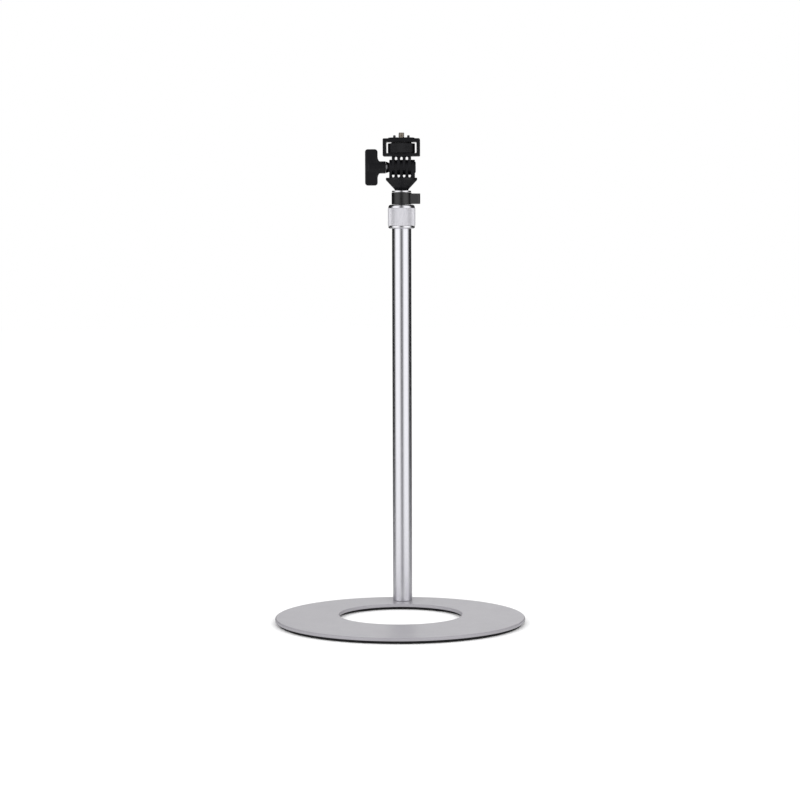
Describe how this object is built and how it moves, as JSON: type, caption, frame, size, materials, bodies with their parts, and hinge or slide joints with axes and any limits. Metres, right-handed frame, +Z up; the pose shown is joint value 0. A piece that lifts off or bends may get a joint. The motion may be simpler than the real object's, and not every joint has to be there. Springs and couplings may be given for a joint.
{
  "type": "desk light stand",
  "caption": "Desk light stand: a flat ring base, a telescopic pole with a knurled twist lock, and a tilting head whose thumbwheel drives an upright screw.",
  "frame": {"origin": "on the desk, under the middle of the ring base", "axes": "+Z up along the pole, +Y to the rear where the pole stands, +X to the right as seen from the front, the side of the lever's tab"},
  "size_m": [0.25, 0.25, 0.4919],
  "materials": {
    "silver_paint": "fine semi-gloss silver paint on steel",
    "polished_aluminium": "polished",
    "satin_knurl": "satin with a fine straight knurl",
    "plain_aluminium": "turned",
    "black_nylon": "moulded, fine grain",
    "black_rubber": "matt",
    "natural_nylon": "moulded",
    "plated_steel": "zinc plated",
    "dark_steel": "dark plated",
    "blackened_steel": "blackened",
    "dull_brass": "dull, machined"
  },
  "bodies": {
    "stand": {"base_plate": "silver_paint", "base_pad": "black_rubber", "foot_screw": "plated_steel", "foot_plug": "plain_aluminium", "outer_tube": "polished_aluminium", "collar_ferrule": "polished_aluminium", "lock_collet": "natural_nylon"},
    "collar": {"twist_collar": "satin_knurl"},
    "mast": {"inner_tube": "polished_aluminium", "guide_bush": "natural_nylon", "mast_cap": "plain_aluminium", "mast_stud": "plated_steel", "friction_washer": "polished_aluminium"},
    "lever": {"lock_lever": "black_nylon", "lever_nut": "dull_brass"},
    "head": {"hinge_base": "black_nylon", "base_insert": "dull_brass", "clamp_bolt": "blackened_steel"},
    "knob": {"tilt_knob": "black_nylon", "knob_nut": "dull_brass", "knob_ferrule": "dark_steel"},
    "cradle": {"hinge_top": "black_nylon", "seat_pad": "black_rubber", "seat_pin_left": "blackened_steel", "seat_pin_right": "blackened_steel"},
    "wheel": {"thumbwheel": "black_nylon", "thrust_washer": "natural_nylon", "light_screw": "dull_brass"}
  },
  "joints": [
    {"name": "mast_slide", "type": "slide", "parent": "stand", "child": "mast", "axis": [0, 0, 1], "range_m": [0, 0.29]},
    {"name": "collar_twist", "type": "hinge", "parent": "stand", "child": "collar", "pos_m": [0, 0.1025, 0.3961], "axis": [0, 0, 1], "range_deg": [0, 120]},
    {"name": "lever_swing", "type": "hinge", "parent": "mast", "child": "lever", "pos_m": [0, 0.1025, 0.4182], "axis": [0, 0, 1], "range_deg": [-90, 0]},
    {"name": "head_pan", "type": "hinge", "parent": "mast", "child": "head", "pos_m": [0, 0.1025, 0.4326], "axis": [0, 0, 1], "continuous": true},
    {"name": "head_tilt", "type": "hinge", "parent": "head", "child": "cradle", "pos_m": [0, 0.1025, 0.4563], "axis": [1, 0, 0], "range_deg": [-80, 80]},
    {"name": "knob_turn", "type": "hinge", "parent": "head", "child": "knob", "pos_m": [0, 0.1025, 0.4563], "axis": [-1, 0, 0], "continuous": true},
    {"name": "wheel_turn", "type": "hinge", "parent": "cradle", "child": "wheel", "pos_m": [0, 0.1025, 0.4715], "axis": [0, 0, 1], "continuous": true}
  ]
}
